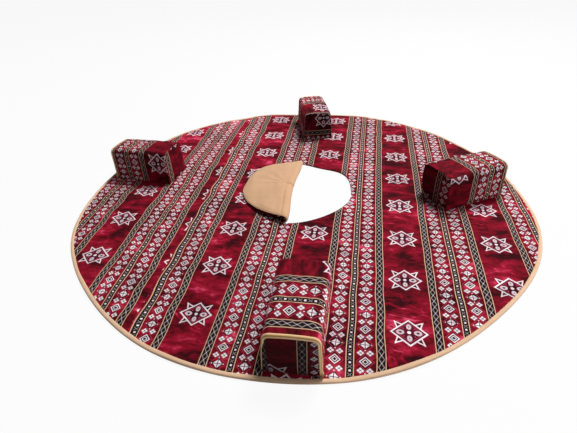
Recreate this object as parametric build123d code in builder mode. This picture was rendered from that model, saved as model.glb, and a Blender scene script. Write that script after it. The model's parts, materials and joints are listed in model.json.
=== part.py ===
from build123d import *
from math import asin, atan2, cos, degrees, hypot, radians, sin
import os

# Round majlis floor mat with a folding centre cover and four loose armrests. Lengths are in millimetres.
# The origin is the middle of the mat on the floor, +Z is up, and the velvet's stripes run along Y.

# Mat
mat_radius = 1500.0
backing_thickness = 1.5
wadding_thickness = 8.0
velvet_thickness = 2.5
binding_width = 20.0
binding_thickness = 1.2
edge_thickness = 1.5

# The rim waves in and out a little: how many waves, how high as a share of the radius, and their phase in
# degrees. The single wave slides the outline so that the middle of its box is the origin.
rim_wave_shares = [
    (1, 0.0110, 123.4),
    (2, 0.0020, -18),
    (3, 0.0050, 65),
    (4, 0.0040, -156),
    (5, 0.0065, -54),
    (8, 0.0040, -160),
]
rim_points = 64

# Where the seam between the two widths of velvet meets the rim's front and back, as shares of the radius
seam_front_share = -0.416
seam_back_share = -0.476

# Opening near the middle, cut by hand: its own middle as shares of the mat's radius, then degrees round from
# +X and the reach there as a share of the opening's radius
opening_radius = 370.0
opening_middle_shares = (-0.006, 0.009)
opening_shares = [
    (-104, 1.180),
    (-80, 1.105),
    (-56, 1.020),
    (-31, 1.000),
    (-13, 0.990),
    (7, 0.965),
    (27, 1.010),
    (44, 1.030),
    (70, 0.932),
    (97, 1.045),
    (105, 1.090),
]

# Centre cover: a crease in the mat, a spine that stands up in the fold, and a flap that lies back on the mat
crease_x = -53.0
fold_rise = 42.0
cut_gap = 2.0
lying_gap = 0.3

# Armrests, with the outer end away from the middle of the mat
armrest_length = 452.0
armrest_base_width = 252.0
armrest_top_width = 226.0
armrest_height = 238.0
armrest_crown = 7.0
top_corner_radius = 34.0
base_corner_radius = 9.0
cover_thickness = 2.0

# Each armrest's name, the bearing of its middle from +X in degrees, how far in from the rim it lies as a
# share of its length, and the turn of its inner end from +X in degrees
armrest_place_shares = [
    ("front", -82.8, 0.586, 92.0),
    ("left", 174.8, 0.671, -6.0),
    ("right", 2.9, 0.898, 211.0),
    ("back", 91.6, 0.841, 285.0),
]

# Zip round the outer end of each armrest, up one side, over the top and down the other
tape_width = 11.0
tape_thickness = 1.0
chain_reach = 2.0
zip_foot = 14.0

# Zip slider, a cap over the corner that the chain runs along
slider_clearance = 0.3
slider_wall = 2.0
slider_leg = 7.0
slider_length = 14.0
lug_thickness = 1.2
lug_gap = 4.6
lug_radius = 2.0
pin_radius = 0.8
pin_lift = 2.4

# Zip pull
pin_clearance = 0.06
pull_side_clearance = 0.3
pull_eye_radius = 1.7
pull_thickness = 1.2
pull_neck_length = 5.0
pull_width = 8.0
pull_length = 18.0
pull_corner_radius = 2.5

# Worked out from the sizes above
mat_thickness = backing_thickness + wadding_thickness + velvet_thickness
stack_depths = {
    "velvet": (velvet_thickness, velvet_thickness),
    "wadding": (velvet_thickness + wadding_thickness, wadding_thickness),
    "backing": (mat_thickness, backing_thickness),
}
far_reach = 2 * mat_radius

os.makedirs("parts", exist_ok=True)


def keep(part, label):
    """Names a finished piece and writes it to its own file."""
    part.label = label
    export_step(part, f"parts/{label}.step")
    print(label, round(part.volume))


def polar(reach, angle):
    """The point at a distance and a number of degrees round from +X."""
    return (reach * cos(radians(angle)), reach * sin(radians(angle)))


def rim_reach(angle):
    """Distance of the wavy rim from the middle: the radius with a few waves added."""
    wave = sum(share * cos(radians(count * angle - phase)) for count, share, phase in rim_wave_shares)
    return mat_radius * (1 + wave)


def rim_outline(inset):
    """The mat's outline, drawn in all round."""
    steps = [360 * step / rim_points for step in range(rim_points)]
    with BuildSketch(mode=Mode.PRIVATE) as outline:
        with BuildLine():
            Spline([polar(rim_reach(angle) - inset, angle) for angle in steps], periodic=True)
        make_face()
    return outline.sketch


def opening_band(start, end, grow):
    """The opening's outline, grown all round, between two lines across it at x = start and x = end."""
    middle = Vector(*opening_middle_shares) * mat_radius
    reaches = [(opening_radius * share + grow, angle) for angle, share in opening_shares]
    points = [middle + Vector(*polar(*reach)) for reach in reaches]
    with BuildSketch(mode=Mode.PRIVATE) as band:
        with BuildLine():
            curve = Spline(points)
            Line(curve @ 1, curve @ 0)
        make_face()
        with Locations(((start + end) / 2, 0)):
            Rectangle(end - start, far_reach, mode=Mode.INTERSECT)
    return band.sketch


def sheet_layers(plane, outline, prefix):
    """Velvet, wadding and backing under one outline, with the velvet's face in the given plane."""
    for layer, (depth, thickness) in stack_depths.items():
        with BuildPart() as sheet:
            with BuildSketch(plane.offset(-depth)):
                add(outline)
            extrude(amount=thickness)
        keep(sheet.part, f"{prefix}_{layer}")


# Mat: the velvet is in two widths, and the binding takes the place of the backing's edge
opening_end = 2 * opening_radius
whole_opening = opening_band(crease_x, opening_end, 0)
lined_opening = opening_band(crease_x, opening_end, edge_thickness)
stack_outline = rim_outline(binding_thickness) - lined_opening
backing_outline = rim_outline(binding_width) - lined_opening

seam_front = (mat_radius * seam_front_share, -far_reach / 2)
seam_back = (mat_radius * seam_back_share, far_reach / 2)
with BuildSketch(mode=Mode.PRIVATE) as left_of_seam:
    with BuildLine():
        Polyline(seam_front, seam_back, (-far_reach, seam_back[1]), (-far_reach, seam_front[1]), close=True)
    make_face()

velvet_level = backing_thickness + wadding_thickness
with BuildPart() as mat_velvet_main:
    with BuildSketch(Plane.XY.offset(velvet_level)):
        add(stack_outline)
        add(left_of_seam.sketch, mode=Mode.SUBTRACT)
    extrude(amount=velvet_thickness)
keep(mat_velvet_main.part, "mat_velvet_main")

with BuildPart() as mat_velvet_side:
    with BuildSketch(Plane.XY.offset(velvet_level)):
        add(stack_outline)
        add(left_of_seam.sketch, mode=Mode.INTERSECT)
    extrude(amount=velvet_thickness)
keep(mat_velvet_side.part, "mat_velvet_side")

with BuildPart() as mat_wadding:
    with BuildSketch(Plane.XY.offset(backing_thickness)):
        add(stack_outline)
    extrude(amount=wadding_thickness)
keep(mat_wadding.part, "mat_wadding")

with BuildPart() as mat_backing:
    with BuildSketch(Plane.XY):
        add(backing_outline)
    extrude(amount=backing_thickness)
keep(mat_backing.part, "mat_backing")

# Rim binding: a wall round the edge with one leaf over the velvet and one under the wadding
binding_outer = rim_outline(0)
binding_wall_inner = rim_outline(binding_thickness)
binding_leaf_inner = rim_outline(binding_width)
with BuildPart() as rim_binding:
    with BuildSketch(Plane.XY):
        add(binding_outer)
        add(binding_wall_inner, mode=Mode.SUBTRACT)
    extrude(amount=mat_thickness + binding_thickness)
    with BuildSketch(Plane.XY):
        add(binding_outer)
        add(binding_leaf_inner, mode=Mode.SUBTRACT)
    extrude(amount=backing_thickness)
    with BuildSketch(Plane.XY.offset(mat_thickness)):
        add(binding_outer)
        add(binding_leaf_inner, mode=Mode.SUBTRACT)
    extrude(amount=binding_thickness)
keep(rim_binding.part, "rim_binding")

with BuildPart() as opening_edge:
    with BuildSketch(Plane.XY):
        add(lined_opening)
        add(whole_opening, mode=Mode.SUBTRACT)
    extrude(amount=mat_thickness)
keep(opening_edge.part, "opening_edge")

# Centre cover, as it lies folded: the spine stands on the crease and the flap slopes down from it to the mat.
# Each sheet is cut from the opening's outline and drawn flat in its own plane, with x away from its crease.
# The spine is as narrow as the opening one thickness further on, where its underside swings past the edge.
flap_start = crease_x + fold_rise
spine_here = opening_band(crease_x, flap_start, -cut_gap)
spine_ahead = opening_band(crease_x + mat_thickness, flap_start + mat_thickness, -cut_gap)
spine_clear = spine_here & spine_ahead.moved(Location((-mat_thickness, 0)))
spine_outline = spine_clear.moved(Location((-crease_x, 0)))
flap_beyond = opening_band(flap_start, opening_end, -cut_gap)
flap_outer = flap_beyond.moved(Location((-flap_start, 0)))
flap_core = opening_band(flap_start, opening_end, -cut_gap - edge_thickness)
flap_inner = flap_core.moved(Location((-flap_start, 0)))
flap_length = flap_outer.bounding_box().max.X
flap_slope = degrees(asin((fold_rise - lying_gap) / flap_length))

spine_plane = Plane(origin=(crease_x, 0, mat_thickness), x_dir=(0, 0, 1), z_dir=(-1, 0, 0))
flap_plane = Plane(
    origin=(crease_x, 0, mat_thickness + fold_rise),
    x_dir=(-cos(radians(flap_slope)), 0, -sin(radians(flap_slope))),
    z_dir=(sin(radians(flap_slope)), 0, -cos(radians(flap_slope))),
)

sheet_layers(spine_plane, spine_outline, "spine")
sheet_layers(flap_plane, flap_inner, "flap")

with BuildPart() as flap_edge:
    with BuildSketch(flap_plane.offset(-mat_thickness)):
        add(flap_outer)
        add(flap_inner, mode=Mode.SUBTRACT)
    extrude(amount=mat_thickness)
keep(flap_edge.part, "flap_edge")


def crease(label, height, start_angle, turn, band):
    """A pie slice of padded cloth round a crease at a height, as long as the near side of a band is wide."""
    near_side = band.edges().filter_by(Axis.Y).sort_by(Axis.X)[0]
    low = near_side.bounding_box().min.Y
    high = near_side.bounding_box().max.Y
    with BuildPart() as bend:
        with BuildSketch(Plane(origin=(crease_x, low, height), x_dir=(1, 0, 0), z_dir=(0, -1, 0))):
            with BuildLine():
                arc = CenterArc((0, 0), mat_thickness, start_angle, turn)
                Line((0, 0), arc @ 0)
                Line((0, 0), arc @ 1)
            make_face()
        extrude(amount=low - high)
    keep(bend.part, label)


crease_foot = opening_band(crease_x + mat_thickness, flap_start, -cut_gap)
crease_head = opening_band(flap_start, flap_start + mat_thickness, -cut_gap)
crease("lower_crease", mat_thickness, -90, 90, crease_foot)
crease("upper_crease", mat_thickness + fold_rise, 0, 90 + flap_slope, crease_head)

# Armrest section, seen along its length: x runs across and y up
side_height = armrest_height - armrest_crown
with BuildSketch(mode=Mode.PRIVATE) as section:
    with BuildLine():
        base_line = Line((armrest_base_width / 2, 0), (-armrest_base_width / 2, 0))
        left_line = Line(base_line @ 1, (-armrest_top_width / 2, side_height))
        crown_arc = ThreePointArc(left_line @ 1, (0, armrest_height), (armrest_top_width / 2, side_height))
        Line(crown_arc @ 1, base_line @ 0)
    make_face()
    fillet(section.vertices().group_by(Axis.Y)[-1], top_corner_radius)
    fillet(section.vertices().group_by(Axis.Y)[0], base_corner_radius)
cover_section = section.sketch
foam_section = offset(cover_section, amount=-cover_thickness)
tape_section = offset(cover_section, amount=tape_thickness)
chain_section = offset(cover_section, amount=chain_reach)
chain_hollow = offset(cover_section, amount=-chain_reach)
tape_hollow = offset(cover_section, amount=-tape_width)

# The side of an armrest leans in towards the top
side_lean = atan2((armrest_base_width - armrest_top_width) / 2, side_height)
side_length = hypot((armrest_base_width - armrest_top_width) / 2, side_height)


def across_band(low, high):
    """A band across the section between two heights."""
    with BuildSketch(mode=Mode.PRIVATE) as band:
        with Locations((0, (low + high) / 2)):
            Rectangle(2 * armrest_base_width, high - low)
    return band.sketch


base_band = across_band(0, cover_thickness)
upper_band = across_band(cover_thickness, 2 * armrest_height)
zip_band = across_band(zip_foot, 2 * armrest_height)


def armrest_plane(bearing, inset_share, turn):
    """Stands on the mat at the armrest's middle, in from the rim, with x towards its inner end."""
    middle = polar(rim_reach(bearing) - inset_share * armrest_length, bearing)
    return Plane(origin=(*middle, mat_thickness), x_dir=(*polar(1, turn), 0), z_dir=(0, 0, 1))


def section_plane(place, along):
    """Across the armrest at a distance along it from its middle, facing its inner end."""
    return Plane(origin=place.from_local_coords((along, 0, 0)), x_dir=place.y_dir, z_dir=place.x_dir)


def slider_plane(place):
    """On the zip's corner at the foot of the side at -y, with x out of the end and y out of the side."""
    foot_lean = zip_foot * sin(side_lean) / cos(side_lean)
    foot = (-armrest_length / 2, -armrest_base_width / 2 + foot_lean, zip_foot)
    up = (0, sin(side_lean), cos(side_lean))
    return Plane(
        origin=place.from_local_coords(foot),
        x_dir=-place.x_dir,
        z_dir=place.y_dir * up[1] + place.z_dir * up[2],
    )


def along_armrest(place, start, length, shapes):
    """Sections added to or cut from each other in turn, then carried along the armrest."""
    with BuildPart() as piece:
        with BuildSketch(section_plane(place, start)):
            for shape, mode in shapes:
                add(shape, mode=mode)
        extrude(amount=length)
    return piece.part


# Slider and pull sizes that follow from the chain
cap_inner = chain_reach + slider_clearance
cap_outer = cap_inner + slider_wall
lug_middle = (cap_outer - slider_leg) / 2
pin_out = cap_outer + pin_lift
pin_up = slider_length - lug_radius


def zip_slider(place):
    """An L-shaped cap over the chain with two lugs on its end side and a pin between them."""
    seat = slider_plane(place)
    lug_places = [lug_middle - (lug_gap + lug_thickness) / 2, lug_middle + (lug_gap + lug_thickness) / 2]
    with BuildPart() as slider:
        with BuildSketch(seat):
            Polygon(
                (cap_outer, cap_outer),
                (-slider_leg, cap_outer),
                (-slider_leg, cap_inner),
                (cap_inner, cap_inner),
                (cap_inner, -slider_leg),
                (cap_outer, -slider_leg),
                align=None,
            )
        extrude(amount=slider_length)
        for across in lug_places:
            lug_side = Plane(
                origin=seat.from_local_coords((0, across - lug_thickness / 2, 0)),
                x_dir=seat.z_dir,
                z_dir=seat.y_dir,
            )
            with BuildSketch(lug_side):
                with Locations((pin_up, pin_out)):
                    Circle(lug_radius)
                with Locations((pin_up, (cap_outer + pin_out) / 2)):
                    Rectangle(2 * lug_radius, pin_out - cap_outer)
            extrude(amount=lug_thickness)
        pin_side = Plane(
            origin=seat.from_local_coords((0, lug_middle - lug_gap / 2 - lug_thickness, 0)),
            x_dir=seat.z_dir,
            z_dir=seat.y_dir,
        )
        with BuildSketch(pin_side):
            with Locations((pin_up, pin_out)):
                Circle(pin_radius)
        extrude(amount=lug_gap + 2 * lug_thickness)
    return slider.part


def zip_pull(place):
    """A tab that hangs from the slider's pin by an eye between the lugs."""
    seat = slider_plane(place)
    eye_width = lug_gap - 2 * pull_side_clearance
    eye_side = Plane(
        origin=seat.from_local_coords((0, lug_middle - eye_width / 2, 0)), x_dir=seat.z_dir, z_dir=seat.y_dir
    )
    tab_face = Plane(
        origin=seat.from_local_coords((pin_out - pull_thickness / 2, lug_middle, pin_up)),
        x_dir=seat.y_dir,
        z_dir=seat.x_dir,
    )
    tab_length = pull_length - pull_neck_length
    with BuildPart() as pull:
        with BuildSketch(eye_side):
            with Locations((pin_up, pin_out)):
                Circle(pull_eye_radius)
        extrude(amount=eye_width)
        with BuildSketch(tab_face):
            with Locations((0, -pull_neck_length / 2)):
                Rectangle(eye_width, pull_neck_length)
            with Locations((0, -pull_neck_length - tab_length / 2)):
                RectangleRounded(pull_width, tab_length, pull_corner_radius)
        extrude(amount=pull_thickness)
        with BuildSketch(eye_side):
            with Locations((pin_up, pin_out)):
                Circle(pin_radius + pin_clearance)
        extrude(amount=eye_width, mode=Mode.SUBTRACT)
    return pull.part


inner_length = armrest_length - 2 * cover_thickness
outer_end = -armrest_length / 2
cut = Mode.SUBTRACT
trim = Mode.INTERSECT

for name, bearing, inset_share, turn in armrest_place_shares:
    place = armrest_plane(bearing, inset_share, turn)
    pieces = {
        "foam_block": along_armrest(
            place, outer_end + cover_thickness, inner_length, [(foam_section, Mode.ADD)]
        ),
        "body_panel": along_armrest(
            place,
            outer_end + cover_thickness,
            inner_length,
            [(cover_section, Mode.ADD), (foam_section, cut), (upper_band, trim)],
        ),
        "base_panel": along_armrest(
            place, outer_end + cover_thickness, inner_length, [(cover_section, Mode.ADD), (base_band, trim)]
        ),
        "inner_end_panel": along_armrest(
            place, -outer_end - cover_thickness, cover_thickness, [(cover_section, Mode.ADD)]
        ),
        "outer_end_panel": along_armrest(place, outer_end, cover_thickness, [(cover_section, Mode.ADD)]),
        "body_zip_tape": along_armrest(
            place,
            outer_end + chain_reach,
            tape_width - chain_reach,
            [(tape_section, Mode.ADD), (cover_section, cut), (zip_band, trim)],
        ),
        "end_zip_tape": along_armrest(
            place,
            outer_end - tape_thickness,
            tape_thickness,
            [(chain_hollow, Mode.ADD), (tape_hollow, cut), (zip_band, trim)],
        ),
    }
    with BuildPart() as zip_chain:
        with BuildSketch(section_plane(place, outer_end - chain_reach)):
            add(chain_section)
            add(chain_hollow, mode=cut)
            add(zip_band, mode=trim)
        extrude(amount=chain_reach)
        with BuildSketch(section_plane(place, outer_end)):
            add(chain_section)
            add(cover_section, mode=cut)
            add(zip_band, mode=trim)
        extrude(amount=chain_reach)
    pieces["zip_chain"] = zip_chain.part
    pieces["zip_slider"] = zip_slider(place)
    pieces["zip_pull"] = zip_pull(place)
    for label, part in pieces.items():
        keep(part, f"{name}_{label}")
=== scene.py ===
"""Looks of the round majlis mat with its folding centre cover and four loose armrests, in metres."""
import json

import bmesh
import bpy
import numpy as np
from mathutils import Matrix, Vector


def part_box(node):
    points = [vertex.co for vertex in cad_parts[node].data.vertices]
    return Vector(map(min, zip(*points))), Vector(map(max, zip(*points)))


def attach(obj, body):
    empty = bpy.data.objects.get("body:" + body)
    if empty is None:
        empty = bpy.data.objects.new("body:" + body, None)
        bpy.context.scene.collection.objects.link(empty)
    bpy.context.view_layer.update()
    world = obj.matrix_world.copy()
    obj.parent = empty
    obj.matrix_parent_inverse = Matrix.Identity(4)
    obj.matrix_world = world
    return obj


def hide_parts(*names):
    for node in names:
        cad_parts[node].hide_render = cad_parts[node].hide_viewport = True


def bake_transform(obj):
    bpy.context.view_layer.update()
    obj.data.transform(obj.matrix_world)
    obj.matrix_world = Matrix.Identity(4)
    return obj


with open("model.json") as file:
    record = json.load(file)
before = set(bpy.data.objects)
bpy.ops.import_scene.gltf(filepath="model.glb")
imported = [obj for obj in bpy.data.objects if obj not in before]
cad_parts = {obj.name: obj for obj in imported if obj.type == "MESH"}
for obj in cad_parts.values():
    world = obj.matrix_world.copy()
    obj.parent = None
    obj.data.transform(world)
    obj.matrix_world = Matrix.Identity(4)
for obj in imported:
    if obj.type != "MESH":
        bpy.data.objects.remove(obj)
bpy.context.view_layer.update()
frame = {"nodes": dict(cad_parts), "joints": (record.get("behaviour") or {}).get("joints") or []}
JOINTS = {joint["name"]: joint for joint in frame["joints"]}
MM = 0.001
MAT_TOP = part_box("mat_velvet_main")[1].z
CREASE_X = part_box("spine_velvet")[0].x

# Woven pattern, in millimetres: the repeat across the stripes, counted from the middle of a dotted band, the
# middle of the zigzag band, half a tan line's width, and the steps of the stars and motifs along the stripes
REPEAT = 512.0
ZIGZAG_AT = 126.0
LINE_HALF = 1.8
STAR_PITCH = 352.0
MOTIF_PITCH = 88.0
MASKS = ("White", "Grey", "Pink", "Tan", "Dark", "Deep", "Pale")

# Where each band of the two widths of velvet crosses three levels of y: its place in the weave, then each x
BAND_LEVELS = (-1.2, 0.0, 1.2)
MAIN_BANDS = [
    (-0.565, -0.668, -0.702, -0.735),
    (-0.512, -0.588, -0.622, -0.655),
    (-0.386, -0.463, -0.492, -0.515),
    (-0.126, -0.222, -0.232, -0.247),
    (0.000, -0.098, -0.101, -0.108),
    (0.126, 0.021, 0.020, 0.018),
    (0.386, 0.262, 0.285, 0.308),
    (0.512, 0.392, 0.407, 0.428),
    (0.638, 0.520, 0.540, 0.574),
    (0.898, 0.768, 0.808, 0.838),
    (1.024, 0.893, 0.933, 0.962),
    (1.150, 1.022, 1.066, 1.100),
    (1.410, 1.285, 1.322, 1.350),
    (1.536, 1.405, 1.440, 1.470),
]
SIDE_BANDS = [
    (-0.638, -1.450, -1.497, -1.530),
    (-0.512, -1.322, -1.368, -1.400),
    (-0.386, -1.198, -1.240, -1.270),
    (-0.126, -0.932, -0.990, -1.014),
    (0.000, -0.815, -0.868, -0.890),
    (0.126, -0.684, -0.742, -0.762),
    (0.386, -0.424, -0.480, -0.500),
]
# Rows of stars: where the first crosses x = 0, their step, how much it grows, and how the rows lean and bow
STAR_START, STAR_STEP, STAR_STRETCH = -0.148, 0.352, 0.0035
ROW_LEAN, ROW_BOW, COLUMN_BOW = 0.0221, -0.0042, -0.0061
SIDE_ROW_SHIFT, SIDE_COLUMN_BOW = 0.007, -0.030
# Seam between the two widths: x at the front and rear ends of the cloth, which lie this far from the middle
CLOTH_END = 1.5
SEAM_FRONT, SEAM_REAR = -0.618, -0.701

# Mat: heights of its swells and pleats, what is added to each at the left, and the groove along the seam
SWELL, SWELL_LEFT, SMALL_SWELL = 0.0030, 0.0022, 0.0009
PLEAT, PLEAT_LEFT, PLEAT_WIDTH = 0.0042, 0.0040, 0.16
LOWEST_SWELL, HIGHEST_SWELL = -0.004, 0.011
GROOVE_DEPTH, GROOVE_WIDTH = 0.0018, 0.006
# The hub that the mat's rays start from and their count, a radius between the opening and the rim, the waves
# kept of the rim's outline, a length beyond everything, and how far the tan cloth stops short of the binding
HUB = np.array([0.14, 0.0])
ROUND_STEPS = 600
BETWEEN_OUTLINES, RIM_WAVES, FAR = 0.7, 26, 9.0
UNDERSIDE_INSET = 0.004

# Folded cover, as lengths along it from the crease: where it leaves the mat, the round bend and where the
# flap begins, then its thickness, the gap left by the cut and how far the mat's velvet reaches under the fold
LIE_START, BEND_START, BEND_MIDDLE, BEND_END, FLAP_START = -0.062, -0.0193, 0.0160, 0.0540, 0.078
COVER_THICKNESS, CUT_GAP, EDGE_UNDER_FOLD = 0.0118, 0.0035, 0.012
# The dent: its depth, deepest place and two ends along y, and the push outwards at the crease's front end
DENT, DENT_AT, DENT_FRONT, DENT_REAR = 0.019, 0.0, -0.36, 0.40
FRONT_PUSH = 0.008
# The rear end's share of the fold's height, the notch in the dent and how far the front edge hangs down
REAR_RISE, NOTCH_DEPTH, NOTCH_WIDTH, FRONT_SAG = 0.62, 0.009, 0.009, 0.013
# Folds that spread from the notch: bearing and width in degrees, and height
NOTCH_FOLDS = ((6.0, 5.0, 0.0022), (27.0, 6.0, 0.0028), (50.0, 7.0, 0.0022), (-24.0, 8.0, 0.0012))
# Heights above the mat where each face of the fold is meant to change over from one body to the next, the
# upper change leaning back with the fold's height; they are looked up, but nothing blends the pieces by them
LOW_BLEND = {"velvet": (0.0006, 0.0100), "backing": (-0.0080, 0.0050)}
HIGH_BLEND = {"velvet": (0.0195, 0.0283), "backing": (0.0290, 0.0400)}
# Solids of the frame that the parts of the cover stand for
COVER_SOLIDS = {
    ("fold_low", "velvet"): ["lower_crease"],
    ("fold_high", "velvet"): ["spine_velvet", "spine_wadding"],
    ("fold_high", "backing"): ["spine_backing", "upper_crease"],
    ("flap", "velvet"): ["flap_velvet", "flap_wadding"],
    ("flap", "backing"): ["flap_backing"],
    ("flap", "front"): ["flap_edge"],
}

# Armrests: half length, half width at the base, height of the middle, points round the section, how far the
# cover puffs and creases, how far its ends dome, and how far and how near its end seams they draw it in
ARMREST_HALF, ARMREST_SIDE, ARMREST_MIDDLE = 0.226, 0.126, 0.119
SECTION_STEPS = 168
PUFF, CREASE, FINE_CREASE = 0.0032, 0.0016, 0.0009
DOME, DOME_MIDDLE = 0.006, 0.112
SEAM_PULL, SEAM_WIDTH = 0.0030, 0.009
# Shift of the weave along the armrest, and round it from the top's middle line, a seam with the shift beyond
# it, and a painted sheen line along one upper edge as its place round the armrest, reach and gain
COVER_SHIFTS = {
    "front": {"along": 0.040, "round": 0.156, "seam": None, "sheen": (-0.120, 0.013, 0.85)},
    "left": {"along": 0.094, "round": 0.180, "seam": None, "sheen": None},
    "right": {"along": 0.094, "round": -0.075, "seam": (0.100, 0.235), "sheen": None},
    "back": {"along": 0.160, "round": -0.048, "seam": None, "sheen": None},
}
# How each stuffed block has settled: the rise of its top and the lean of one side, at its inner and outer end
SETTLING = {
    "front": {"rise": (-0.012, 0.0), "spread": (0.022, 0.0)},
    "left": {"rise": (0.008, -0.002), "spread": (0.0, 0.0)},
    "right": {"rise": (-0.005, 0.005), "spread": (0.030, 0.0)},
    "back": {"rise": (-0.003, 0.002), "spread": (0.0, 0.0)},
}
# End covers: which way the strips run, where the zigzag band's middle lies, which way the stars lie from it,
# and the height of a star row
END_SHIFTS = {
    "front": {"inner": ("upright", 0.040, 1, -0.060), "outer": ("upright", -0.043, 1, -0.014)},
    "left": {"inner": ("upright", -0.085, 1, -0.060), "outer": ("upright", 0.020, -1, 0.090)},
    "right": {"inner": ("upright", 0.016, -1, -0.035), "outer": ("upright", -0.050, 1, 0.060)},
    "back": {"inner": ("level", 0.062, 1, 0.047), "outer": ("upright", 0.030, 1, 0.080)},
}
# Zip: its foot above the mat, the heights between which the tapes come out from their tuck on one side, the
# tape's profile as reach from the corner and height, and the coil's tooth, its rings as place and radius
ZIP_FOOT = 0.014
TUCK_LOW, TUCK_HIGH = 0.15, 0.205
TAPE_PROFILE = np.array([
    (0.0022, 0.0002), (0.0030, 0.0012), (0.0065, 0.0016), (0.0100, 0.0012), (0.0110, 0.0002),
])
TOOTH_PITCH, TOOTH_REACH, TOOTH_RADIUS, TOOTH_STAGGER = 0.0016, 0.0016, 0.0007, 0.0006
TOOTH_RINGS = np.array([(-1.0, 0.35), (-0.7, 1.0), (0.7, 1.0), (1.0, 0.35)])
TOOTH_SIDES = 6


# Numbers
def ease(low, high, x):
    """Smoothstep: 0 below low, 1 above high, 3t^2 - 2t^3 between."""
    t = np.clip((x - low) / (high - low), 0.0, 1.0)
    return t * t * (3 - 2 * t)


def bell(x, width):
    """exp(-(x / width)^2): 1 in the middle, dying out on both sides."""
    return np.exp(-((x / width) ** 2))


def ripples(x, y, length, seed, count=9, across=1.0):
    """Smooth cloth noise: the sum of several sine waves of about one length, with seeded headings and phases,
    over the root of their count. The waves are stretched along x by the number across."""
    rng = np.random.default_rng(seed)
    total = 0.0
    for _ in range(count):
        heading, phase = rng.uniform(0, 2 * np.pi, 2)
        size = length * rng.uniform(0.7, 1.4)
        run = x / across * np.cos(heading) + y * np.sin(heading)
        total = total + np.sin(2 * np.pi * run / size + phase)
    return total / np.sqrt(count)


def full_turn(count):
    """Bearings evenly spaced round a full turn."""
    return np.linspace(-np.pi, np.pi, count + 1)[:-1]


def polar_about(points, centre):
    """Bearing and reach of each point from a centre, in order of bearing."""
    offset = points - centre
    bearing = np.arctan2(offset[:, 1], offset[:, 0])
    order = np.argsort(bearing)
    return bearing[order], np.hypot(offset[:, 0], offset[:, 1])[order]


def reach_at(table, bearing):
    """Reach of an outline at any bearing, straight between its points."""
    return np.interp(bearing, table[0], table[1], period=2 * np.pi)


def lengths_along(line):
    """Length from a line's first point to each of its points."""
    return np.concatenate([[0.0], np.cumsum(np.hypot(*np.diff(line, axis=0).T))])


def points_at(lengths, along, line):
    """Points of a line at the given lengths along it."""
    return np.stack([np.interp(lengths, along, line[:, k]) for k in (0, 1)], axis=1)


def normals_right(line):
    """Unit normals of a closed line to the right of its run, from the points on either side of each."""
    run = np.roll(line, -1, 0) - np.roll(line, 1, 0)
    run /= np.linalg.norm(run, axis=1)[:, None]
    return np.stack([run[:, 1], -run[:, 0]], axis=1)


def cut_area(x, y):
    """Area inside a closed outline, by the sum of cross products of neighbouring points."""
    return 0.5 * abs(float(np.sum(x * np.roll(y, -1) - y * np.roll(x, -1))))


# Meshes
def placed(name, data):
    """A new object of the scene, at the origin."""
    item = bpy.data.objects.new(name, data)
    bpy.context.scene.collection.objects.link(item)
    return item


def mend(mesh, merge=False, outwards=False):
    """Merges a mesh's points that meet, or turns its faces outwards."""
    work = bmesh.new()
    work.from_mesh(mesh)
    if merge:
        bmesh.ops.remove_doubles(work, verts=work.verts, dist=1e-6)
    if outwards:
        bmesh.ops.recalc_face_normals(work, faces=work.faces)
    work.to_mesh(mesh)
    work.free()


def sheet_mesh(name, points, uv, wrap=False, flip=False, merge=False):
    """A mesh from a grid of points. Where its columns wrap round, uv has one more column than points."""
    rows, columns = points.shape[:2]
    i, j = np.meshgrid(np.arange(rows - 1), np.arange(columns if wrap else columns - 1), indexing="ij")
    i, j = i.ravel(), j.ravel()
    corners = [(i, j), (i + 1, j), (i + 1, j + 1), (i, j + 1)]
    if flip:
        corners.reverse()
    faces = np.stack([a * columns + b % columns for a, b in corners], axis=1)
    loops_uv = np.stack([uv[a, b] for a, b in corners], axis=1)
    mesh = bpy.data.meshes.new(name)
    mesh.vertices.add(rows * columns)
    mesh.vertices.foreach_set("co", points.astype(np.float32).ravel())
    mesh.loops.add(faces.size)
    mesh.loops.foreach_set("vertex_index", faces.astype(np.int32).ravel())
    mesh.polygons.add(len(faces))
    mesh.polygons.foreach_set("loop_start", np.arange(0, faces.size, 4, dtype=np.int32))
    mesh.uv_layers.new(name="cloth").data.foreach_set("uv", loops_uv.astype(np.float32).ravel())
    mesh.polygons.foreach_set("use_smooth", np.ones(len(faces), dtype=bool))
    mesh.update(calc_edges=True)
    mesh.validate()
    if merge:
        mend(mesh, merge=True)
    return placed(name, mesh)


def dress(piece, finish, body=None, solids=()):
    """Gives a piece the material of its finish, whose slot is not used here, its body, and hides the solids
    it stands for.
    """
    material, slot = finish
    piece.data.materials.append(material)
    if body:
        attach(piece, body)
    if solids:
        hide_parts(*solids)
    return piece


def paint_light(piece, lie):
    """Writes at each point of a piece its painted light: painted sheen where positive, painted shade where
    negative.
    """
    values = piece.data.attributes.new("painted_light", "FLOAT", "POINT")
    values.data.foreach_set("value", lie.astype(np.float32).ravel())


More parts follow.
